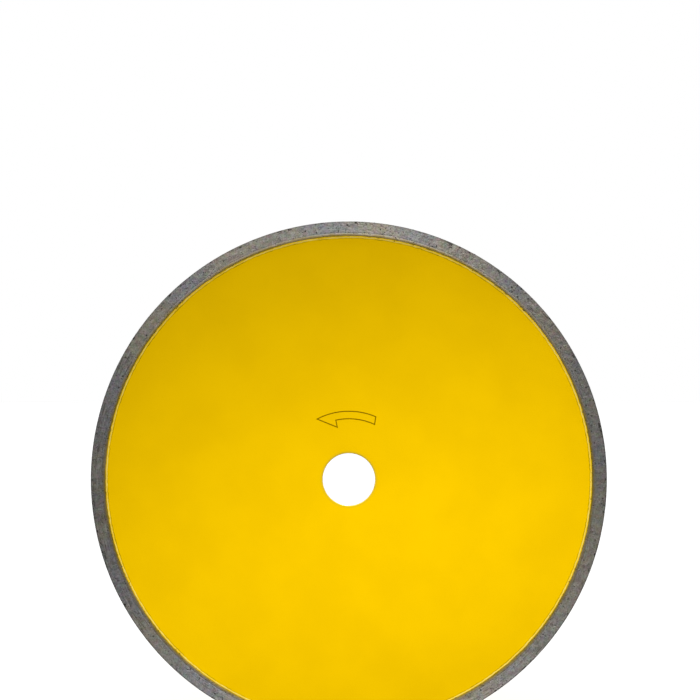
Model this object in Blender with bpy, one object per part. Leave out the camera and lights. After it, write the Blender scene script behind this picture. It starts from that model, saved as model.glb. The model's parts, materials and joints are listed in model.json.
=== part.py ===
"""Continuous-rim diamond blade, 250 mm across, with a plain 25.4 mm arbor bore.

Units are metres. The disc stands upright. Its axis of rotation is +Y, the face that carries
the rotation arrow looks towards -Y, and the origin is the middle of the bore.
"""

import math

import bmesh
import bpy
from mathutils import Vector

# Driving dimensions
BLADE_RADIUS = 0.125
BORE_RADIUS = 0.0127
CORE_THICKNESS = 0.0012
RIM_THICKNESS = 0.0016
RIM_HEIGHT = 0.007
BACKING_HEIGHT = 0.0015
BORE_CHAMFER = 0.0002
RIM_CHAMFER = 0.00015

# Joint between the core and the rim
SOLDER_FILM = 0.00012
FILLET_RUN = 0.001
FILLET_RISE = 0.00008

# Coats and printed arrow
LACQUER = 0.00007
INK = 0.00002
ARROW_OUTER = 0.0333
ARROW_INNER = 0.0292
ARROW_BARB = 0.0255
ARROW_LINE = 0.00045
ARROW_TAIL_OUTER_DEG = 66.5
ARROW_TAIL_INNER_DEG = 64.3
ARROW_BARB_DEG = 102.0
ARROW_TIP_DEG = 118.6
ARROW_ARC_STEPS = 18

# Neighbouring pieces are concentric and share their facets, so a thin gap keeps them apart
CLEARANCE = 0.00002
SEGMENTS = 120
SHARP_ANGLE = math.radians(30)

# Places that follow from the driving dimensions
JOINT_RADIUS = BLADE_RADIUS - RIM_HEIGHT
CORE_RADIUS = JOINT_RADIUS - SOLDER_FILM
BACKING_RADIUS = JOINT_RADIUS + BACKING_HEIGHT
CORE_FACE = CORE_THICKNESS / 2
RIM_FACE = RIM_THICKNESS / 2
FILLET_FOOT = JOINT_RADIUS - FILLET_RUN
COAT_UNDERSIDE = CORE_FACE + CLEARANCE
COAT_FACE = COAT_UNDERSIDE + LACQUER


def clear_scene():
    for item in list(bpy.data.objects):
        bpy.data.objects.remove(item, do_unlink=True)


def plain_material(name, colour, roughness, metallic):
    """A Principled material with one colour."""
    material = bpy.data.materials.new(name)
    material.use_nodes = True
    shader = material.node_tree.nodes["Principled BSDF"]
    shader.inputs["Base Color"].default_value = (*colour, 1.0)
    shader.inputs["Roughness"].default_value = roughness
    shader.inputs["Metallic"].default_value = metallic
    return material


def new_part(name, bm, material, axis):
    """Turn a bmesh into a named object that hangs on the blade's axis."""
    bmesh.ops.recalc_face_normals(bm, faces=bm.faces)
    mesh = bpy.data.meshes.new(name)
    bm.to_mesh(mesh)
    bm.free()
    mesh.materials.append(material)
    mesh.shade_smooth()
    mesh.set_sharp_from_angle(angle=SHARP_ANGLE)
    part = bpy.data.objects.new(name, mesh)
    bpy.context.scene.collection.objects.link(part)
    part.parent = axis
    return part


def turned(profile):
    """Spin a closed outline of (radius, y) corners once about the Y axis."""
    bm = bmesh.new()
    corners = [bm.verts.new((radius, y, 0.0)) for radius, y in profile]
    edges = [bm.edges.new(pair) for pair in zip(corners, corners[1:] + corners[:1])]
    bmesh.ops.spin(
        bm,
        geom=corners + edges,
        cent=(0.0, 0.0, 0.0),
        axis=(0.0, 1.0, 0.0),
        angle=math.tau,
        steps=SEGMENTS,
        use_merge=True,
    )
    return bm


def both_faces(half_profile):
    """Complete an outline given for y > 0 with its mirror image below the middle plane."""
    return half_profile + [(radius, -y) for radius, y in reversed(half_profile)]


def make_steel_core(axis):
    """Steel disc with a chamfered bore."""
    profile = both_faces([
        (BORE_RADIUS, CORE_FACE - BORE_CHAMFER),
        (BORE_RADIUS + BORE_CHAMFER, CORE_FACE),
        (CORE_RADIUS, CORE_FACE),
    ])
    steel = plain_material("steel", (0.45, 0.45, 0.46), 0.38, 1.0)
    return new_part("steel_core", turned(profile), steel, axis)


def make_solder_ring(axis):
    """Silver solder film round the core's edge, with a low fillet on each face."""
    profile = both_faces([
        (CORE_RADIUS + CLEARANCE, COAT_UNDERSIDE),
        (FILLET_FOOT, COAT_UNDERSIDE),
        (JOINT_RADIUS - CLEARANCE, COAT_UNDERSIDE + FILLET_RISE),
    ])
    solder = plain_material("solder", (0.62, 0.58, 0.42), 0.42, 1.0)
    return new_part("solder_ring", turned(profile), solder, axis)


def make_backing_ring(axis):
    """Layer of the rim that holds no diamond and is soldered to the core."""
    profile = both_faces([
        (JOINT_RADIUS, RIM_FACE),
        (BACKING_RADIUS - CLEARANCE, RIM_FACE),
    ])
    metal = plain_material("backing_metal", (0.26, 0.21, 0.13), 0.55, 0.8)
    return new_part("backing_ring", turned(profile), metal, axis)


def make_diamond_rim(axis):
    """Sintered working layer that holds the diamond, with its outer corners dressed off."""
    profile = both_faces([
        (BACKING_RADIUS, RIM_FACE),
        (BLADE_RADIUS - RIM_CHAMFER, RIM_FACE),
        (BLADE_RADIUS, RIM_FACE - RIM_CHAMFER),
    ])
    bond = plain_material("sintered_bond", (0.19, 0.18, 0.15), 0.6, 0.75)
    return new_part("diamond_rim", turned(profile), bond, axis)


def make_lacquer(name, side, axis):
    """Coat on one face: flat over the core, then up over the solder fillet to the rim."""
    climb_start = FILLET_FOOT - CLEARANCE * FILLET_RUN / FILLET_RISE
    bore_edge = BORE_RADIUS + BORE_CHAMFER
    rim_edge = JOINT_RADIUS - CLEARANCE
    crest = COAT_UNDERSIDE + FILLET_RISE + CLEARANCE
    profile = [
        (bore_edge, side * COAT_UNDERSIDE),
        (climb_start, side * COAT_UNDERSIDE),
        (rim_edge, side * crest),
        (rim_edge, side * (crest + LACQUER)),
        (climb_start, side * COAT_FACE),
        (bore_edge, side * COAT_FACE),
    ]
    yellow = plain_material(name, (0.80, 0.48, 0.002), 0.32, 0.0)
    return new_part(name, turned(profile), yellow, axis)


def polar(radius, degrees):
    """A point of the front face, with 90 degrees at the top and 0 at the right."""
    angle = math.radians(degrees)
    return Vector((radius * math.cos(angle), 0.0, radius * math.sin(angle)))


def arrow_arc(radius, start_deg, end_deg):
    step = (end_deg - start_deg) / ARROW_ARC_STEPS
    return [polar(radius, start_deg + i * step) for i in range(ARROW_ARC_STEPS + 1)]


def make_rotation_arrow(axis):
    """Printed outline of a curved arrow with one barb, pointing anticlockwise on the front."""
    outline = arrow_arc(ARROW_OUTER, ARROW_TAIL_OUTER_DEG, ARROW_TIP_DEG)
    outline.append(polar(ARROW_BARB, ARROW_BARB_DEG))
    outline += arrow_arc(ARROW_INNER, ARROW_BARB_DEG, ARROW_TAIL_INNER_DEG)
    bm = bmesh.new()
    face = bm.faces.new([bm.verts.new(point) for point in outline])
    face.normal_update()
    bmesh.ops.inset_region(
        bm,
        faces=[face],
        thickness=ARROW_LINE,
        use_boundary=True,
        use_even_offset=True,
    )
    bmesh.ops.delete(bm, geom=[face], context="FACES")
    underside = COAT_FACE + CLEARANCE
    bmesh.ops.translate(bm, verts=bm.verts, vec=(0.0, -underside, 0.0))
    ribbon = bmesh.ops.extrude_face_region(bm, geom=list(bm.faces))
    lifted = [item for item in ribbon["geom"] if isinstance(item, bmesh.types.BMVert)]
    bmesh.ops.translate(bm, verts=lifted, vec=(0.0, -INK, 0.0))
    ink = plain_material("arrow_ink", (0.30, 0.20, 0.02), 0.5, 0.0)
    return new_part("rotation_arrow", bm, ink, axis)


def build():
    clear_scene()
    axis = bpy.data.objects.new("blade_axis", None)
    bpy.context.scene.collection.objects.link(axis)
    make_steel_core(axis)
    make_solder_ring(axis)
    make_backing_ring(axis)
    make_diamond_rim(axis)
    make_lacquer("front_lacquer", -1.0, axis)
    make_lacquer("back_lacquer", 1.0, axis)
    make_rotation_arrow(axis)


build()
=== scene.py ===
"""Looks of a continuous-rim diamond blade: lacquered steel core and sintered diamond rim.

The disc stands upright on a pale floor, with its axis along Y and the arrow face to -Y.
Each piece is shaped lying flat, axis along its own Z and arrow face up, and is then stood up.
All lengths are in metres.
"""

import json
import math

import bmesh
import bpy
import numpy as np
from mathutils import Matrix, Vector, noise


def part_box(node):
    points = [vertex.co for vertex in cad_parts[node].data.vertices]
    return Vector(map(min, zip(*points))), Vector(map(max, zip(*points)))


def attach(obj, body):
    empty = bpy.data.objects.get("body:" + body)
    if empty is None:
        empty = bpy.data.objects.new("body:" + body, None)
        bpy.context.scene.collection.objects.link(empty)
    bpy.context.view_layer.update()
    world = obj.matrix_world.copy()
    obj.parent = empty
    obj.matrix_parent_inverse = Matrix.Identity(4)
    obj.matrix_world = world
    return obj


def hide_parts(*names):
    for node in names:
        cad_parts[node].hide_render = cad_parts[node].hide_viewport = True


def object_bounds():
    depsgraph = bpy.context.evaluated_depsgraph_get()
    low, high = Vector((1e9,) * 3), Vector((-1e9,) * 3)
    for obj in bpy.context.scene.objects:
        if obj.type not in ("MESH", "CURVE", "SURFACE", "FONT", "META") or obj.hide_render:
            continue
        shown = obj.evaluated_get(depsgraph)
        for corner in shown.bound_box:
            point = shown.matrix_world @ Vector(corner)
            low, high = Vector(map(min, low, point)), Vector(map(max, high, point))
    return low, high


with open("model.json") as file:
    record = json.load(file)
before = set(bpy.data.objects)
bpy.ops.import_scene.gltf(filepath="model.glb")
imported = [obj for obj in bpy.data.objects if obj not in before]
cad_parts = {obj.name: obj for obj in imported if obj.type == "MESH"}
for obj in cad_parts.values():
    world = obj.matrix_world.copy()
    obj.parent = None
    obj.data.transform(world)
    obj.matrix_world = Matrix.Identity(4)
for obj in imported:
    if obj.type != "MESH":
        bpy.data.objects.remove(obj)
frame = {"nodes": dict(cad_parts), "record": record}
cad_low, cad_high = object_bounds()

MM = 0.001


def inner_radius(node):
    """Smallest distance of a packed ring from the blade's axis."""
    corners = frame["nodes"][node].data.vertices
    return min(math.hypot(corner.co.x, corner.co.z) for corner in corners)


def mount_depth(name):
    """How far a flange face lies from the middle plane."""
    mounts = {mount["name"]: mount for mount in frame["record"]["mounts"]}
    return abs(mounts[name]["pos_m"][1])


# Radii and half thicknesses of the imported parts
BORE = inner_radius("steel_core")
CORE_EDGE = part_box("steel_core")[1].x
JOINT = inner_radius("backing_ring")
BACKING_EDGE = inner_radius("diamond_rim")
RIM_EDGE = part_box("diamond_rim")[1].x
CORE_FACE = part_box("steel_core")[1].y
COAT_FACE = mount_depth("back_flange_face")
RIM_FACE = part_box("diamond_rim")[1].y

# Steps round the disc: for the rim, for wavy edges and for plain turned shapes
FINE = 1920
EVEN = 1440
COARSE = 360
SHARP_ANGLE = math.radians(40)

# Core
BORE_CHAMFER = 0.2 * MM

# Coat. Its roll at the bore is in millimetres out from the bore and down from the flat.
SKIN_GAP = 0.004 * MM
BORE_ROLL = ((0.04, 0.20), (0.09, 0.09), (0.20, 0.035), (0.42, 0.008))
ROLL_START = BORE + 0.75 * MM
FLAT_RADII = (ROLL_START, 20 * MM, 45 * MM, 75 * MM, 100 * MM)
FLAT_END = 112 * MM
BEAD_FOOT = JOINT - 1.25 * MM
BEAD_CREST = JOINT - 0.5 * MM
BEAD_RISE = 0.07 * MM
STAIN_LENGTH = 34 * MM

# Chips in the coat's outer edge, in degrees round from the right. The back has them turned over.
CHIP_DEGREES = (143.0, 58.5, 53.0, 51.4, 44.0, 16.0, 5.0, 201.0, 247.0, 296.0, 331.0)
BACK_CHIP_TURN = 217.0

# Rim. It is uneven by so many millimetres on its sides, and by so much more on the edge.
SIDE_STEPS = 14
SIDE_UNEVEN = 0.010
EDGE_UNEVEN = 0.014
CORNER = 0.16 * MM
LAYER_GAP = 0.015 * MM
DRESSED = {"Anisotropic": 0.75, "Anisotropic_Rotation": 0.232}

# Pits in the rim. The chances are per face. A pit's corners drift by millimetres.
PITS_FROM = BACKING_EDGE + 0.1 * MM
BORDER_PIT_CHANCE = 0.011
PIT_CHANCE = 0.0045
PIT_DRIFT = 0.11
PIT_CORNER = 0.11 * MM
PIT_WALL = 0.05 * MM
PIT_DEPTH = 0.10 * MM

# The pitted rim is put in order along this line, which is aslant to every symmetry of the disc
ORDER_LINE = Vector((1.0, 0.7131, 0.3173))

# Diamond crystals
GRIT_SIZE = (0.10 * MM, 0.19 * MM)
GRIT_MARGIN = 0.3 * MM
CRYSTALS_PER_SIDE = 900
CRYSTALS_ON_EDGE = 1100

# Studio: radiance of the surround at and below the horizon, and what it gains by the zenith
HORIZON_LIGHT = 0.14
ZENITH_LIGHT = 2.9
FLOOR_RADIUS = 6.0
FLOOR_GAP = 0.1 * MM
LENS = 100.0
CAMERA_PLACE = (0.55 * MM, -0.9425, 62.7 * MM)
POOL_POWER = 32.0
POOL_PLACE = (0.12, 0.68, 0.59)
POOL_TARGET = (0.014, 0.0, -0.045)
POOL_SPREAD = math.radians(14)
POOL_STRETCH = 2.1
POOL_SOFTNESS = 0.08

# Colours of the lacquer and the ink, linear
LACQUER_DEEP = (0.735, 0.447, 0.0)
LACQUER_LIGHT = (0.77, 0.472, 0.0)
LACQUER_PALE_FLECK = (0.80, 0.55, 0.03)
LACQUER_DARK_FLECK = (0.36, 0.21, 0.0)
# painted shade in the dip at the bead's foot
LACQUER_FOOT_SHADE = (0.24, 0.175, 0.0)
LACQUER_ON_BEAD = (0.70, 0.58, 0.15)
# browned lacquer, with painted shade of the step up to the rim
LACQUER_BROWNED_AND_SHADED = (0.28, 0.195, 0.008)
LACQUER_BURNT = (0.05, 0.032, 0.0)
LACQUER_AT_BORE = (0.42, 0.33, 0.02)
INK_THIN = (0.19, 0.098, 0.0)
INK_THICK = (0.12, 0.060, 0.0)
INK_GAP = (0.36, 0.22, 0.0)

# Colours of the sintered rim
POWDER_COOL = (0.312, 0.309, 0.313)
POWDER_WARM = (0.374, 0.338, 0.274)
POWDER_DARK = (0.17, 0.165, 0.155)
POWDER_LIGHT = (0.42, 0.41, 0.39)
GRAIN_BRIGHT = (0.60, 0.59, 0.57)
GRAIN_DARK = (0.10, 0.095, 0.085)
SCRATCH_BRIGHT = (0.52, 0.49, 0.44)
SCRATCH_DARK = (0.11, 0.095, 0.075)
# wear, with painted shade on the rounded outer corner of the rim
WORN_AND_SHADED_EDGE = (0.07, 0.067, 0.06)
NICK = (0.03, 0.026, 0.022)
# painted shade inside the pits and pores of the rim
PORE_SHADE = (0.022, 0.019, 0.014)
BRONZE = (0.32, 0.243, 0.105)
# flux stain, with painted shade of the step at the joint
FLUX_AND_SHADE = (0.29, 0.205, 0.012)
BRONZE_DARK = (0.07, 0.055, 0.03)
# colour of the small sunken spots on the backing
SUNKEN_SPOT_DARK = (0.022, 0.016, 0.006)

# Colours of solder, steel, diamond and floor
SOLDER_DARK = (0.12, 0.095, 0.03)
SOLDER_LIGHT = (0.30, 0.26, 0.13)
SOLDER_DULL = (0.05, 0.035, 0.01)
STEEL_TARNISHED = (0.30, 0.29, 0.275)
STEEL_CLEAN = (0.42, 0.42, 0.42)
STEEL_RING = (0.55, 0.55, 0.56)
DIAMOND_GREEN = (0.10, 0.095, 0.04)
DIAMOND_GREY = (0.30, 0.29, 0.19)
DIAMOND_CLOUD = (0.06, 0.055, 0.035)
FLOOR_LOW = (0.50, 0.50, 0.50)
FLOOR_HIGH = (0.52, 0.52, 0.52)


# ---------------------------------------------------------------- meshes

def ring(count, radius, height):
    """A loop of points round the axis. Radius and height may vary from point to point."""
    angle = np.arange(count) * math.tau / count
    return np.stack([radius * np.cos(angle), radius * np.sin(angle), height + 0.0 * angle], axis=1)


def join_loops(start_a, count_a, start_b, count_b):
    """Faces between two loops, one of which may have a whole multiple of the other's points."""
    if count_a > count_b:
        swapped = join_loops(start_b, count_b, start_a, count_a)
        return [face[::-1] for face in swapped]
    share = count_b // count_a
    faces = []
    for step in range(count_a):
        near = [start_a + step, start_a + (step + 1) % count_a]
        far = [start_b + (step * share + k) % count_b for k in range(share, -1, -1)]
        faces.append(near + far)
    return faces


def turned_solid(name, loops, finish):
    """A closed solid through loops that run once round its section."""
    starts = np.cumsum([0] + [len(loop) for loop in loops])
    faces = []
    for index, loop in enumerate(loops):
        following = (index + 1) % len(loops)
        faces += join_loops(
            int(starts[index]), len(loop), int(starts[following]), len(loops[following])
        )
    mesh = bpy.data.meshes.new(name)
    mesh.from_pydata(np.concatenate(loops).tolist(), [], faces)
    return solid_piece(name, mesh, finish)


def mirrored(half, skip=0):
    """The upper half of a section, then its lower half without that many of the first corners."""
    return half + [(radius, -height) for radius, height in reversed(half[skip:])]


def solid_piece(name, mesh, finish, smooth=True):
    """Link a mesh as a piece of the blade, with its faces turned outwards."""
    bm = bmesh.new()
    bm.from_mesh(mesh)
    bmesh.ops.recalc_face_normals(bm, faces=bm.faces)
    bm.to_mesh(mesh)
    bm.free()
    if smooth:
        mesh.shade_smooth()
        mesh.set_sharp_from_angle(angle=SHARP_ANGLE)
    mesh.materials.append(finish)
    piece = bpy.data.objects.new(name, mesh)
    piece.rotation_euler = (math.radians(90), 0.0, 0.0)
    bpy.context.scene.collection.objects.link(piece)
    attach(piece, "root")
    return piece


def wander(count, shortest, longest, seed):
    """Smooth random wave round the disc with unit deviation, from waves of those lengths."""
    dice = np.random.default_rng(seed)
    girth = math.tau * JOINT
    angle = np.arange(count) * math.tau / count
    total = np.zeros(count)
    for turns in range(int(girth / longest), int(girth / shortest)):
        strength = dice.normal() / math.sqrt(turns)
        total += strength * np.sin(turns * angle + dice.uniform(0, math.tau))
    return total / total.std()


def roughness_at(points, size, seed):
    """Noise of one grain size at each point."""
    shift = Vector((seed * 7.3, seed * 3.1, seed * 5.7))
    return np.array([noise.noise(Vector(point) / size + shift) for point in points])


# ---------------------------------------------------------------- shader language

class Value:
    """One socket of a finish. Arithmetic on it adds Math nodes."""

    def __init__(self, finish, socket):
        self.finish = finish
        self.socket = socket

    def _math(self, operation, *terms):
        return self.finish.node("ShaderNodeMath", {"operation": operation}, dict(enumerate(terms)))

    def __add__(self, other):
        return self._math("ADD", self, other)

    __radd__ = __add__

    def __sub__(self, other):
        return self._math("SUBTRACT", self, other)

    def __rsub__(self, other):
        return self._math("SUBTRACT", other, self)

    def __mul__(self, other):
        return self._math("MULTIPLY", self, other)

    __rmul__ = __mul__

    def __truediv__(self, other):
        return self._math("DIVIDE", self, other)

    def __rtruediv__(self, other):
        return self._math("DIVIDE", other, self)

    def __pow__(self, other):
        return self._math("POWER", self, other)

    def ramp(self, low, high):
        """0 at low, 1 at high, smooth between. Low may be above high."""
        settings = {"interpolation_type": "SMOOTHSTEP"}
        if low > high:
            return 1 - self.ramp(high, low)
        sockets = {"Value": self, "From Min": low, "From Max": high}
        return self.finish.node("ShaderNodeMapRange", settings, sockets)

    def band(self, low, high, soft):
        """1 between low and high, falling to 0 over the soft width outside them."""
        return self.ramp(low - soft, low) * self.ramp(high + soft, high)


class Finish:
    """A material under construction: a Principled shader and the nodes that feed it."""

    def __init__(self, name, **fixed):
        self.material = bpy.data.materials.new(name)
        self.material.use_nodes = True
        self.tree = self.material.node_tree
        self.shader = self.tree.nodes["Principled BSDF"]
        for socket, value in fixed.items():
            self.shader.inputs[socket.replace("_", " ")].default_value = value
        self.place = self.node("ShaderNodeTexCoord", output="Object")

    def node(self, kind, settings=None, sockets=None, output=0):
        """A node of that type, with its settings and the values or links of its sockets."""
        made = self.tree.nodes.new(kind)
        for setting, value in (settings or {}).items():
            setattr(made, setting, value)
        for socket, value in (sockets or {}).items():
            self.feed(made.inputs[socket], value)
        return Value(self, made.outputs[output])

    def feed(self, socket, value):
        """Link a value to a socket, or set the socket to a plain number or colour."""
        if isinstance(value, Value):
            self.tree.links.new(value.socket, socket)
        else:
            socket.default_value = value

    def grain(self, size, detail=2.0, contrast=0.5, where=None, output=0):
        """Noise whose blobs are about that size, centred on 0.5."""
        sockets = {
            "Vector": where or self.place,
            "Scale": 1.0 / size,
            "Detail": detail,
            "Roughness": contrast,
        }
        return self.node("ShaderNodeTexNoise", None, sockets, output)

    def cells(self, size):
        """Distance from the nearest of scattered points, in units of their usual spacing."""
        sockets = {"Vector": self.place, "Scale": 1.0 / size}
        return self.node("ShaderNodeTexVoronoi", {"feature": "F1"}, sockets, "Distance")

    def blend(self, factor, first, second, mode="MIX"):
        """Mix two colours. Plain colours are three numbers."""
        settings = {"data_type": "RGBA", "blend_type": mode}
        first, second = (
            colour if isinstance(colour, Value) else (*colour, 1.0) for colour in (first, second)
        )
        return self.node("ShaderNodeMix", settings, {0: factor, 6: first, 7: second}, output=2)

    def polar(self):
        """Distance from the axis, and the three coordinates."""
        part = self.tree.nodes.new("ShaderNodeSeparateXYZ")
        self.feed(part.inputs[0], self.place)
        x, y, z = (Value(self, part.outputs[axis]) for axis in "XYZ")
        return (x * x + y * y) ** 0.5, x, y, z

    def streaked(self, length):
        """Coordinates in which noise runs in streaks round the disc, length times its width."""
        radius, x, y, z = self.polar()
        turning = RIM_EDGE / length
        sockets = {0: x / radius * turning, 1: y / radius * turning, 2: radius + z}
        return self.node("ShaderNodeCombineXYZ", None, sockets)

    def relief(self, height, depth, under=None):
        """Bump the surface by height times depth, on top of an earlier relief."""
        sockets = {"Height": height, "Strength": 1.0, "Distance": depth}
        if under is not None:
            sockets["Normal"] = under
        return self.node("ShaderNodeBump", None, sockets)

    def finished(self, **links):
        """The material, once these sockets of its shader are fed."""
        for socket, value in links.items():
            self.feed(self.shader.inputs[socket.replace("_", " ")], value)
        return self.material


# ---------------------------------------------------------------- finishes

def lacquer_finish():
    """Yellow stoved lacquer with faint orange peel.

    It is thin and pale over the bead, with painted shade at the bead's foot. It is browned next
    to the rim, with painted shade of the step there, more in some stretches than in others.
    """
    paint = Finish(
        "yellow_lacquer",
        Specular_IOR_Level=0.28,
        Specular_Tint=(1.0, 0.78, 0.0, 1.0),
    )
    radius = paint.polar()[0]
    cloud = paint.grain(28 * MM, detail=3.0)
    fleck = paint.grain(0.45 * MM, detail=1.0)
    ragged = paint.grain(1.6 * MM, detail=3.0)
    edge = radius + (ragged - 0.5) * (0.8 * MM)

    tone = paint.blend(cloud.ramp(0.3, 0.7), LACQUER_DEEP, LACQUER_LIGHT)
    tone = paint.blend(fleck.ramp(0.62, 0.80) * 0.10, tone, LACQUER_PALE_FLECK)
    tone = paint.blend(fleck.ramp(0.38, 0.20) * 0.10, tone, LACQUER_DARK_FLECK)
    patchy = paint.grain(5 * MM, detail=4.0, contrast=0.65)
    broken = paint.grain(2.4 * MM, detail=3.0).ramp(0.42, 0.58)
    stained = paint.grain(STAIN_LENGTH, detail=1.0).ramp(0.42, 0.56)
    # Painted shade: a darker line along the bead's foot, where the coat dips before it climbs the
    # bead.
    foot = edge.band(JOINT - 1.32 * MM, JOINT - 1.18 * MM, 0.20 * MM)
    shade = patchy.ramp(0.35, 0.62) * 0.6 + stained * 0.2 + 0.05
    tone = paint.blend(foot * shade, tone, LACQUER_FOOT_SHADE)
    bead = edge.band(JOINT - 0.88 * MM, JOINT - 0.62 * MM, 0.18 * MM)
    tone = paint.blend(bead * (patchy.ramp(0.65, 0.38) * 0.6 + 0.3), tone, LACQUER_ON_BEAD)
    # Browned overspray next to the rim, with painted shade of the step up to the rim.
    border = edge.ramp(JOINT - 0.50 * MM, JOINT - 0.15 * MM)
    tone = paint.blend(border * (broken * 0.45 + stained * 0.4 + 0.15), tone, LACQUER_BROWNED_AND_SHADED)
    spots = paint.cells(1.7 * MM).ramp(0.30, 0.12) * edge.ramp(JOINT - 0.9 * MM, JOINT - 0.4 * MM)
    tone = paint.blend(spots * patchy.ramp(0.45, 0.55) * 0.85, tone, LACQUER_BURNT)
    lip = radius.ramp(BORE + 1.6 * MM, BORE + 0.5 * MM)
    tone = paint.blend(lip * 0.35, tone, LACQUER_AT_BORE)

    peel = paint.grain(1.3 * MM, detail=1.5)
    nibs = paint.cells(5.5 * MM).ramp(0.06, 0.02)
    normal = paint.relief(peel, 0.012 * MM)
    normal = paint.relief(nibs, 0.02 * MM, normal)
    gloss = 0.34 + (cloud - 0.5) * 0.10 + bead * 0.12
    return paint.finished(Base_Color=tone, Roughness=gloss, Normal=normal)


def powder_grains(finish):
    """Fine grains of pressed metal powder, and their coarser mottle."""
    grains = finish.grain(0.6 * MM, detail=3.0, contrast=0.6)
    mottle = finish.grain(1.8 * MM, detail=4.0, contrast=0.6)
    return grains, mottle


def powder_tone(finish, grains, mottle):
    """Grey of dressed metal powder, warm in some stretches and cool in others."""
    warmth = finish.grain(42 * MM)
    tint = finish.grain(2.3 * MM, output="Color")
    tone = finish.blend(warmth.ramp(0.4, 0.6), POWDER_COOL, POWDER_WARM)
    tone = finish.blend(mottle.ramp(0.60, 0.34) * 0.45, tone, POWDER_DARK)
    tone = finish.blend(mottle.ramp(0.52, 0.70) * 0.4, tone, POWDER_LIGHT)
    tone = finish.blend(0.42, tone, tint, "SOFT_LIGHT")
    tone = finish.blend(grains.ramp(0.53, 0.72) * 0.6, tone, GRAIN_BRIGHT)
    return finish.blend(grains.ramp(0.48, 0.27) * 0.75, tone, GRAIN_DARK)


def bond_finish():
    """Sintered metal powder with diamond: mottled grey, pitted, dressed round the disc."""
    bond = Finish("sintered_bond", **DRESSED)
    radius = bond.polar()[0]
    grains, mottle = powder_grains(bond)
    streak = bond.grain(0.6 * MM, detail=3.0, where=bond.streaked(12.0))
    streaky = bond.grain(26 * MM, detail=1.0).ramp(0.44, 0.60)
    spots = bond.cells(1.2 * MM)
    crowded = bond.grain(3.0 * MM).ramp(0.48, 0.58)
    pores = spots.ramp(0.34, 0.16) * crowded
    pit = bond.node("ShaderNodeAttribute", {"attribute_name": "pit"}, output="Fac")
    hole = 1 - (1 - pores * 0.85) * (1 - pit.ramp(0.0, 0.1))

    tone = powder_tone(bond, grains, mottle)
    tone = bond.blend(streak.ramp(0.54, 0.70) * streaky * 0.7, tone, SCRATCH_BRIGHT)
    tone = bond.blend(streak.ramp(0.46, 0.30) * streaky * 0.7, tone, SCRATCH_DARK)
    # Wear and painted shade: darker towards the rounded outer corner, where the face turns away.
    worn_and_shaded = (radius + (mottle - 0.5) * (0.9 * MM)).ramp(RIM_EDGE - 0.6 * MM, RIM_EDGE - 0.1 * MM)
    tone = bond.blend(worn_and_shaded * 0.7, tone, WORN_AND_SHADED_EDGE)
    nicks = bond.grain(1.1 * MM, detail=3.0, where=bond.streaked(2.0)).ramp(0.55, 0.62)
    near_edge = radius.ramp(RIM_EDGE - 2.0 * MM, RIM_EDGE - 0.7 * MM)
    clustered = bond.grain(9 * MM, detail=2.0).ramp(0.46, 0.56)
    tone = bond.blend(nicks * near_edge * clustered * 0.9, tone, NICK)
    # Painted shade: pits and pores are darkened to near black on their walls and floors.
    tone = bond.blend(hole * 0.9, tone, PORE_SHADE)

    normal = bond.relief(streak, 0.05 * MM)
    normal = bond.relief(grains, 0.05 * MM, normal)
    normal = bond.relief(spots.ramp(0.12, 0.26) * crowded, 0.03 * MM, normal)
    gloss = 0.50 + (grains - 0.5) * 0.3 + hole * 0.3
    metal = 0.85 - hole * 0.75
    return bond.finished(Base_Color=tone, Roughness=gloss, Metallic=metal, Normal=normal)


def backing_finish():
    """Diamond-free rim layer: brown with flux, solder and painted shade at the joint, then grey."""
    layer = Finish("backing_metal", **DRESSED)
    radius = layer.polar()[0]
    grains, mottle = powder_grains(layer)
    patchy = layer.grain(5 * MM, detail=4.0, contrast=0.65)
    stained = layer.grain(STAIN_LENGTH, detail=1.0).ramp(0.42, 0.56)
    ragged = radius + (mottle - 0.5) * (1.2 * MM) + (patchy - 0.5) * (1.6 * MM)

    tone = powder_tone(layer, grains, mottle)
    bronze = ragged.ramp(JOINT + 1.9 * MM, JOINT + 0.4 * MM)
    tone = layer.blend(bronze * 0.8, tone, BRONZE)
    # Flux stain along the joint, deepened by painted shade of the step between coat and rim.
    flux = ragged.ramp(JOINT + 0.85 * MM, JOINT + 0.35 * MM)
    brown = patchy.ramp(0.40, 0.58) * 0.35 + stained * 0.45 + 0.2
    tone = layer.blend(flux * brown, tone, FLUX_AND_SHADE)
    tone = layer.blend(grains.ramp(0.46, 0.28) * 0.5, tone, BRONZE_DARK)
    # Small sunken spots, painted near black.
    sunken_dark_spots = layer.cells(1.2 * MM).ramp(0.36, 0.14) * patchy.ramp(0.47, 0.56)
    tone = layer.blend(sunken_dark_spots * 0.9, tone, SUNKEN_SPOT_DARK)

    normal = layer.relief(grains, 0.05 * MM)
    normal = layer.relief(1 - sunken_dark_spots, 0.06 * MM, normal)
    gloss = 0.50 + (grains - 0.5) * 0.3 + flux * 0.15
    metal = 0.85 - sunken_dark_spots * 0.7 - flux * 0.15
    return layer.finished(Base_Color=tone, Roughness=gloss, Metallic=metal, Normal=normal)


def solder_finish():
    """Silver solder as it flowed, dulled by flux."""
    solder = Finish("silver_solder")
    flow = solder.grain(1.8 * MM, detail=3.0)
    dull = solder.grain(0.6 * MM, detail=2.0)
    tone = solder.blend(flow.ramp(0.3, 0.7), SOLDER_DARK, SOLDER_LIGHT)
    tone = solder.blend(dull.ramp(0.5, 0.3) * 0.7, tone, SOLDER_DULL)
    normal = solder.relief(flow, 0.05 * MM)
    gloss = 0.42 + dull * 0.3
    return solder.finished(Base_Color=tone, Roughness=gloss, Metallic=0.8, Normal=normal)


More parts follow.
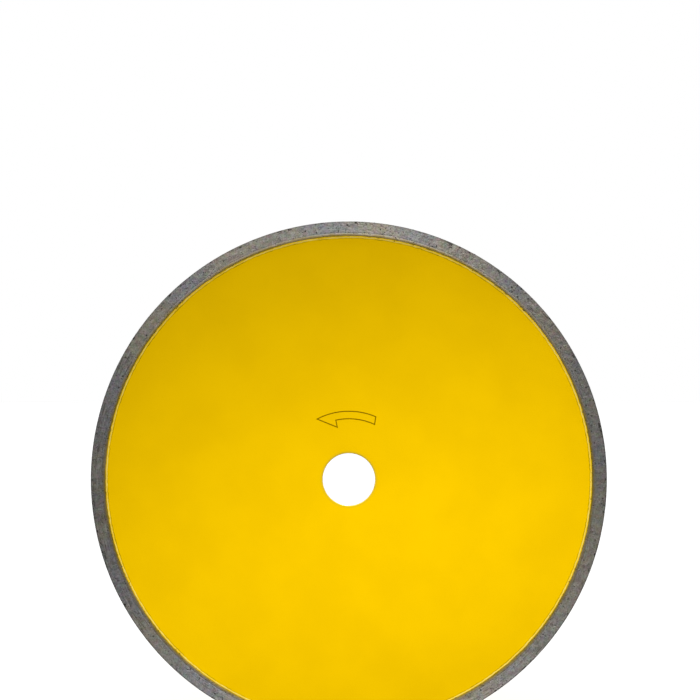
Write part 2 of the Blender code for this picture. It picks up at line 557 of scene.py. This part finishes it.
def steel_finish():
    """Turned steel of the core, bare in the bore, with fine rings and a little tarnish."""
    steel = Finish("core_steel")
    rings = steel.grain(0.05 * MM, detail=2.0, where=steel.streaked(400.0))
    tarnish = steel.grain(2.5 * MM, detail=4.0)
    tone = steel.blend(tarnish.ramp(0.35, 0.7), STEEL_TARNISHED, STEEL_CLEAN)
    tone = steel.blend(rings.ramp(0.55, 0.7) * 0.3, tone, STEEL_RING)
    normal = steel.relief(rings, 0.01 * MM)
    gloss = 0.30 + tarnish.ramp(0.5, 0.75) * 0.2
    return steel.finished(Base_Color=tone, Roughness=gloss, Metallic=1.0, Normal=normal)


def diamond_finish():
    """Synthetic diamond grit: greenish yellow to grey, each crystal its own shade."""
    grit = Finish("diamond", IOR=2.4, Roughness=0.5, Specular_IOR_Level=0.22)
    island = grit.node("ShaderNodeNewGeometry", output="Random Per Island")
    tone = grit.blend(island.ramp(0.2, 0.8), DIAMOND_GREEN, DIAMOND_GREY)
    clouded = grit.grain(0.12 * MM, detail=1.0)
    tone = grit.blend(clouded.ramp(0.5, 0.3) * 0.4, tone, DIAMOND_CLOUD)
    return grit.finished(Base_Color=tone)


def ink_finish():
    """Thin printed ink, olive brown, uneven in density."""
    ink = Finish("arrow_ink", Specular_IOR_Level=0.15, Specular_Tint=(1.0, 0.8, 0.0, 1.0))
    density = ink.grain(1.1 * MM, detail=3.0)
    speck = ink.grain(0.25 * MM, detail=1.0)
    tone = ink.blend(density.ramp(0.3, 0.7), INK_THIN, INK_THICK)
    tone = ink.blend(speck.ramp(0.55, 0.7) * 0.4, tone, INK_GAP)
    normal = ink.relief(speck, 0.01 * MM)
    return ink.finished(Base_Color=tone, Roughness=0.42 + density * 0.2, Normal=normal)


def floor_finish():
    """Plain pale studio floor, as bright under the overhead light as the surround behind it."""
    pale = Finish("studio_floor", Roughness=0.9, Specular_IOR_Level=0.0)
    cloud = pale.grain(120 * MM)
    tone = pale.blend(cloud, FLOOR_LOW, FLOOR_HIGH)
    return pale.finished(Base_Color=tone)


# ---------------------------------------------------------------- pieces of the blade

def make_core(finish):
    """Steel disc: the bore with its small chamfers is what shows of it."""
    edge = CORE_EDGE - 0.3 * MM
    half = [
        (BORE, 0.0),
        (BORE, CORE_FACE - BORE_CHAMFER),
        (BORE + 0.35 * BORE_CHAMFER, CORE_FACE - 0.45 * BORE_CHAMFER),
        (BORE + BORE_CHAMFER, CORE_FACE),
        (edge, CORE_FACE),
    ]
    section = mirrored(half, skip=1)
    loops = [ring(COARSE, radius, height) for radius, height in section]
    core = turned_solid("core_disc", loops, finish)
    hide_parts("steel_core")


def make_solder(finish):
    """Solder between core and rim, with a low wavy fillet on each face under the coat."""
    inner = CORE_EDGE - 0.25 * MM
    wave = wander(EVEN, 2 * MM, 30 * MM, 3)
    lip = CORE_FACE + 0.075 * MM + wave * (0.006 * MM)
    outer = JOINT - 0.01 * MM
    foot = JOINT - 1.0 * MM
    under = CORE_FACE + 0.003 * MM
    loops = [
        ring(EVEN, inner, under),
        ring(EVEN, foot, under),
        ring(EVEN, foot + 0.4 * MM, lip - 0.025 * MM),
        ring(EVEN, outer - 0.1 * MM, lip),
        ring(EVEN, outer, lip - 0.02 * MM),
        ring(EVEN, outer, -lip + 0.02 * MM),
        ring(EVEN, outer - 0.1 * MM, -lip),
        ring(EVEN, foot + 0.4 * MM, -lip + 0.025 * MM),
        ring(EVEN, foot, -under),
        ring(EVEN, inner, -under),
    ]
    solder = turned_solid("solder_bead", loops, finish)
    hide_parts("solder_ring")


def chipped_edge(side):
    """Radius of the coat's ragged outer edge, with a few small chips knocked out of it."""
    degrees = np.arange(EVEN) * 360.0 / EVEN
    edge = JOINT - 0.06 * MM + np.minimum(wander(EVEN, 1.5 * MM, 25 * MM, 5) * 0.03 * MM, 0.04 * MM)
    dice = np.random.default_rng(11)
    for spot in CHIP_DEGREES:
        centre = spot if side > 0 else BACK_CHIP_TURN - spot
        width = dice.uniform(0.10, 0.26)
        away = (degrees - centre + 180.0) % 360.0 - 180.0
        depth = dice.uniform(0.25, 0.65) * MM
        edge -= depth * np.exp(-(away / width) ** 4)
    return edge


def make_coat(name, node, side, finish):
    """Lacquer on one face: rolled over at the bore, flat, then up over the solder bead."""
    edge = chipped_edge(side)
    wave = np.clip(wander(EVEN, 1.5 * MM, 30 * MM, 4), -1.6, 1.6)
    under = CORE_FACE + SKIN_GAP
    crest = COAT_FACE + BEAD_RISE + wave * (0.018 * MM)
    foot = BEAD_FOOT - wave * (0.10 * MM)
    loops = [ring(COARSE, BORE + 0.22 * MM, side * under)]
    loops += [
        ring(COARSE, BORE + out * MM, side * (COAT_FACE - down * MM)) for out, down in BORE_ROLL
    ]
    loops += [ring(COARSE, radius, side * COAT_FACE) for radius in FLAT_RADII]
    loops.append(ring(EVEN, FLAT_END, side * COAT_FACE))
    loops.append(ring(EVEN, foot, side * COAT_FACE))
    for share in (0.2, 0.4, 0.6, 0.8, 1.0):
        radius = np.minimum(foot + share * (BEAD_CREST - foot), edge - 0.16 * MM * (2 - share))
        lift = 0.5 - 0.5 * math.cos(math.pi * share)
        loops.append(ring(EVEN, radius, side * (COAT_FACE + lift * (crest - COAT_FACE))))
    loops.append(ring(EVEN, edge - 0.12 * MM, side * (crest - 0.012 * MM)))
    loops.append(ring(EVEN, edge - 0.03 * MM, side * (crest - 0.035 * MM)))
    loops.append(ring(EVEN, edge, side * (crest - 0.07 * MM)))
    loops.append(ring(EVEN, edge - 0.02 * MM, side * (CORE_FACE + 0.085 * MM)))
    loops.append(ring(EVEN, BEAD_FOOT, side * under))
    coat = turned_solid(name, loops, finish)
    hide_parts(node)


def make_backing(finish):
    """Inner layer of the rim, with softened corners where it stands above the coat."""
    wave = wander(EVEN, 1.2 * MM, 20 * MM, 8) * (0.012 * MM)
    outer = BACKING_EDGE - LAYER_GAP
    half = [
        (JOINT + wave, RIM_FACE - 0.16 * MM),
        (JOINT + 0.05 * MM + wave, RIM_FACE - 0.06 * MM),
        (JOINT + 0.18 * MM + wave, RIM_FACE - 0.012 * MM),
        (JOINT + 0.45 * MM, RIM_FACE - 0.002 * MM),
        (outer - 0.02 * MM, RIM_FACE - 0.002 * MM),
        (outer, RIM_FACE - 0.012 * MM),
    ]
    loops = [ring(EVEN, radius, height) for radius, height in mirrored(half)]
    layer = turned_solid("backing_layer", loops, finish)
    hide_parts("backing_ring")


def rim_section():
    """Corners of the working layer's section, (radius, height), for one half."""
    inner = BACKING_EDGE + LAYER_GAP
    face_end = RIM_EDGE - CORNER
    face = [
        (inner + 0.05 * MM + share * (face_end - inner - 0.05 * MM), RIM_FACE)
        for share in np.linspace(0.0, 1.0, SIDE_STEPS)
    ]
    corner = [
        (face_end + CORNER * math.sin(turn), RIM_FACE - CORNER + CORNER * math.cos(turn))
        for turn in (math.radians(30), math.radians(60), math.radians(90))
    ]
    return [(inner, RIM_FACE - 0.015 * MM)] + face + corner + [(RIM_EDGE, 0.22 * MM)]


def make_rim(finish):
    """Working layer of the rim: dressed sides, rough cutting edge, pits where grit fell out."""
    loops = []
    for radius, height in mirrored(rim_section()):
        loop = ring(FINE, radius, height)
        outward = loop * (1.0, 1.0, 0.0) / radius
        grain = roughness_at(loop, 0.9 * MM, 1)
        coarse = roughness_at(loop, 2.8 * MM, 2)
        at_edge = 1.0 if radius > RIM_EDGE - CORNER * 0.8 else 0.0
        uneven = (SIDE_UNEVEN + EDGE_UNEVEN * at_edge) * MM
        sunk = uneven * (grain + 0.6 * coarse - 0.5)
        facing = outward * at_edge + np.array([0.0, 0.0, math.copysign(1.0 - at_edge, height)])
        loops.append(loop + facing * sunk[:, None])
    rim = turned_solid("diamond_layer", loops, finish)
    sink_pits(rim.data)
    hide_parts("diamond_rim")


def off_axis(face):
    """Distance of a face's middle from the blade's axis."""
    return face.calc_center_median().xy.length


def pitted_faces(bm, dice):
    """Faces where grit fell out, in patches of one to four, most of them near the two borders.

    The faces between one loop and the next follow each other round the disc, so a face's
    neighbours are known by counting.
    """
    total = len(bm.faces)
    picked = set()
    for start in range(total):
        radius = off_axis(bm.faces[start])
        if radius < PITS_FROM:
            continue
        near_border = radius > RIM_EDGE - 1.0 * MM or radius < BACKING_EDGE + 0.9 * MM
        if dice.random() < (BORDER_PIT_CHANCE if near_border else PIT_CHANCE):
            wide, tall = dice.integers(1, 3, 2)
            for row in range(tall):
                turn = start - start % FINE
                picked |= {(turn + row * FINE + (start + k) % FINE) % total for k in range(wide)}
    faces = [bm.faces[index] for index in sorted(picked)]
    return [face for face in faces if off_axis(face) > PITS_FROM]


def sink_pits(mesh):
    """Press pits into the rim and mark their floors.

    The corners of a pit drift within the surface and the lone ones are cut off, so that none
    stays square. Until the pits are sunk their faces carry material index 1, and the cut
    corners index 2. Cutting leaves corners and faces in a different order each time, so they
    are sorted at the end.
    """
    dice = np.random.default_rng(17)
    bm = bmesh.new()
    bm.from_mesh(mesh)
    bm.faces.ensure_lookup_table()
    floors = pitted_faces(bm, dice)
    for face in floors:
        face.material_index = 1
    outline = {corner for face in floors for corner in face.verts}
    outline = sorted(outline, key=lambda corner: corner.index)
    for corner in outline:
        shift = Vector(dice.uniform(-PIT_DRIFT, PIT_DRIFT, 3)) * MM
        corner.co += shift - corner.normal * shift.dot(corner.normal)
    lone = [
        corner for corner in outline
        if sum(face.material_index for face in corner.link_faces) == 1
    ]
    bmesh.ops.bevel(
        bm, geom=lone, offset=PIT_CORNER, affect="VERTICES", segments=1, material=2
    )
    floors = [face for face in bm.faces if face.material_index == 1]
    bmesh.ops.inset_region(bm, faces=floors, thickness=PIT_WALL, depth=-PIT_DEPTH)
    depth = bm.verts.layers.float.new("pit")
    for face in floors:
        for corner in face.verts:
            corner[depth] = 1.0
    for face in bm.faces:
        face.material_index = 0
        face.smooth = True
    bm.verts.sort(key=lambda corner: corner.co.dot(ORDER_LINE))
    bm.faces.sort(key=lambda face: sum(corner.co.dot(ORDER_LINE) for corner in face.verts))
    bm.to_mesh(mesh)
    bm.free()
    mesh.set_sharp_from_angle(angle=SHARP_ANGLE)


def crystal_spots(dice):
    """Places and outward directions of the crystals: both sides, then the cutting edge."""
    for side in (-1.0, 1.0):
        for _ in range(CRYSTALS_PER_SIDE):
            angle = dice.uniform(0, math.tau)
            radius = dice.uniform(BACKING_EDGE + GRIT_MARGIN, RIM_EDGE - GRIT_MARGIN)
            place = Vector((radius * math.cos(angle), radius * math.sin(angle), side * RIM_FACE))
            yield place, Vector((0.0, 0.0, side))
    for _ in range(CRYSTALS_ON_EDGE):
        angle = dice.uniform(0, math.tau)
        outward = Vector((math.cos(angle), math.sin(angle), 0.0))
        height = dice.uniform(-1, 1) * (RIM_FACE - GRIT_MARGIN)
        yield outward * RIM_EDGE + Vector((0.0, 0.0, height)), outward


def crystal_shape():
    """Corners and faces of one crystal of unit radius."""
    bm = bmesh.new()
    bmesh.ops.create_icosphere(bm, subdivisions=1, radius=1.0)
    corners = np.array([corner.co for corner in bm.verts])
    faces = np.array([[corner.index for corner in face.verts] for face in bm.faces])
    bm.free()
    return corners, faces


def make_crystals(finish):
    """Diamond crystals that the dressing has laid open, each more than half sunk in the bond."""
    dice = np.random.default_rng(29)
    corners, faces = crystal_shape()
    points = []
    triangles = []
    for place, outward in crystal_spots(dice):
        size = dice.uniform(*GRIT_SIZE)
        sunk = place - outward * (size * dice.uniform(0.45, 0.8))
        axis = Vector(dice.normal(size=3)).normalized()
        turn = np.array(Matrix.Rotation(dice.uniform(0, math.tau), 3, axis))
        stretch = dice.uniform(0.8, 1.15, 3)
        triangles.append(faces + len(points) * len(corners))
        points.append((corners * stretch * size) @ turn.T + np.array(sunk))
    mesh = bpy.data.meshes.new("diamond_crystals")
    mesh.from_pydata(np.concatenate(points).tolist(), [], np.concatenate(triangles).tolist())
    grit = solid_piece("diamond_crystals", mesh, finish, smooth=False)


def finish_arrow(finish):
    """The printed arrow keeps its own outline and takes the ink."""
    arrow = frame["nodes"]["rotation_arrow"]
    arrow.data.materials.clear()
    arrow.data.materials.append(finish)


# ---------------------------------------------------------------- studio

def make_floor():
    """Round pale floor just under the blade."""
    bm = bmesh.new()
    bmesh.ops.create_circle(bm, cap_ends=True, segments=96, radius=FLOOR_RADIUS)
    mesh = bpy.data.meshes.new("studio_floor")
    bm.to_mesh(mesh)
    bm.free()
    mesh.materials.append(floor_finish())
    floor = bpy.data.objects.new("studio_floor", mesh)
    floor.location = (0.0, 0.0, cad_low.z - FLOOR_GAP)
    floor.visible_diffuse = False
    floor.visible_glossy = False
    bpy.context.scene.collection.objects.link(floor)


def make_camera():
    """Square on to the arrow face, half a radius above the bore."""
    lens = bpy.data.cameras.new("front_camera")
    lens.lens = LENS
    lens.sensor_width = 36.0
    camera = bpy.data.objects.new("front_camera", lens)
    camera.location = CAMERA_PLACE
    camera.rotation_euler = (math.radians(90), 0.0, 0.0)
    bpy.context.scene.collection.objects.link(camera)
    bpy.context.scene.camera = camera


def make_pool(name, side):
    """A soft-edged pool of light on one face, wider than it is high."""
    light = bpy.data.lights.new(name, "SPOT")
    light.energy = POOL_POWER
    light.spot_size = POOL_SPREAD
    light.spot_blend = 1.0
    light.shadow_soft_size = POOL_SOFTNESS
    across, away, up = POOL_PLACE
    place = Vector((across, side * away, up))
    lamp = bpy.data.objects.new(name, light)
    lamp.location = place
    lamp.rotation_euler = (Vector(POOL_TARGET) - place).to_track_quat("-Z", "Y").to_euler()
    lamp.scale = (POOL_STRETCH, 1.0, 1.0)
    bpy.context.scene.collection.objects.link(lamp)


def make_surround():
    """A surround that is seen white and lights the blade softly, mostly from overhead."""
    world = bpy.data.worlds.new("white_surround")
    world.use_nodes = True
    tree = world.node_tree
    direction = tree.nodes.new("ShaderNodeTexCoord").outputs["Generated"]
    parts = tree.nodes.new("ShaderNodeSeparateXYZ")
    tree.links.new(direction, parts.inputs[0])
    overhead = tree.nodes.new("ShaderNodeMapRange")
    overhead.interpolation_type = "SMOOTHSTEP"
    overhead.inputs["To Min"].default_value = HORIZON_LIGHT
    overhead.inputs["To Max"].default_value = HORIZON_LIGHT + ZENITH_LIGHT
    tree.links.new(parts.outputs["Z"], overhead.inputs["Value"])
    seen = tree.nodes.new("ShaderNodeMix")
    seen.inputs["B"].default_value = 1.0
    looked_at = tree.nodes.new("ShaderNodeLightPath").outputs["Is Camera Ray"]
    tree.links.new(looked_at, seen.inputs["Factor"])
    tree.links.new(overhead.outputs[0], seen.inputs["A"])
    tree.links.new(seen.outputs["Result"], tree.nodes["Background"].inputs["Strength"])
    tree.nodes["Background"].inputs["Color"].default_value = (1.0, 1.0, 1.0, 1.0)
    bpy.context.scene.world = world


def make_studio():
    """White surround and a pool of light on each face."""
    make_surround()
    bpy.context.scene.view_settings.view_transform = "Standard"
    make_pool("front_pool", -1.0)
    make_pool("back_pool", 1.0)


def build():
    make_core(steel_finish())
    make_solder(solder_finish())
    lacquer = lacquer_finish()
    make_coat("front_coat", "front_lacquer", 1.0, lacquer)
    make_coat("back_coat", "back_lacquer", -1.0, lacquer)
    make_backing(backing_finish())
    make_rim(bond_finish())
    make_crystals(diamond_finish())
    finish_arrow(ink_finish())
    make_floor()
    make_camera()
    make_studio()


build()
